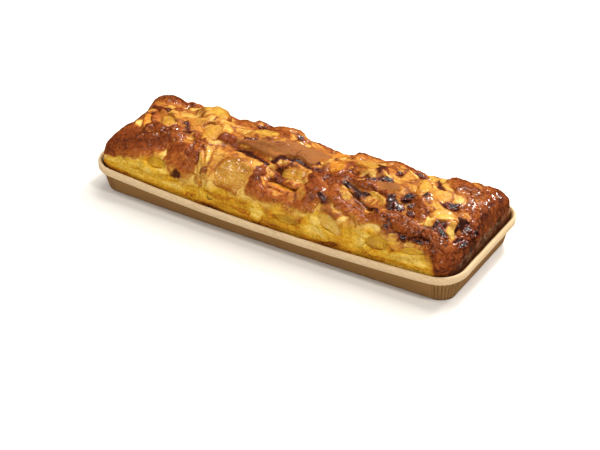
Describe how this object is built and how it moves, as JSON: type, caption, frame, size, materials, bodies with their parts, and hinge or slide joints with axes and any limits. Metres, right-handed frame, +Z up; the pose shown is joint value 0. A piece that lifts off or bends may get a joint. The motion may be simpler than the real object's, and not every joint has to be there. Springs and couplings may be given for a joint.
{
  "type": "apple cake in a paper baking tray",
  "caption": "Loaf-shaped apple cake with baked-in fruit slices and dark caramel scraps, in a shallow paper baking tray with a rolled rim.",
  "frame": {"origin": "under the centre of the tray's flat base, on the surface it stands on", "axes": "+X along the loaf to its darker, squarer end, +Y across it to its gently sloping side, +Z up"},
  "size_m": [0.261, 0.0986, 0.05],
  "materials": {
    "kraft_paper": "matt, fibrous kraft paper",
    "baked_crust": null,
    "baked_fruit": null
  },
  "bodies": {
    "root": {"paper_tray": "kraft_paper", "cake_body": "baked_crust", "apple_slice_01": "baked_fruit", "apple_slice_02": "baked_fruit", "apple_slice_03": "baked_fruit", "apple_slice_04": "baked_fruit", "apple_slice_05": "baked_fruit", "apple_slice_06": "baked_fruit", "apple_slice_07": "baked_fruit", "apple_slice_08": "baked_fruit", "apple_slice_09": "baked_fruit", "apple_slice_10": "baked_fruit", "apple_slice_11": "baked_fruit", "apple_slice_12": "baked_fruit", "apple_slice_13": "baked_fruit", "apple_slice_14": "baked_fruit", "apple_slice_15": "baked_fruit", "apple_slice_16": "baked_fruit", "apple_slice_17": "baked_fruit", "apple_slice_18": "baked_fruit", "apple_slice_19": "baked_fruit", "apple_slice_20": "baked_fruit", "apple_slice_21": "baked_fruit", "apple_slice_22": "baked_fruit", "apple_slice_23": "baked_fruit", "apple_slice_24": "baked_fruit"}
  },
  "joints": []
}
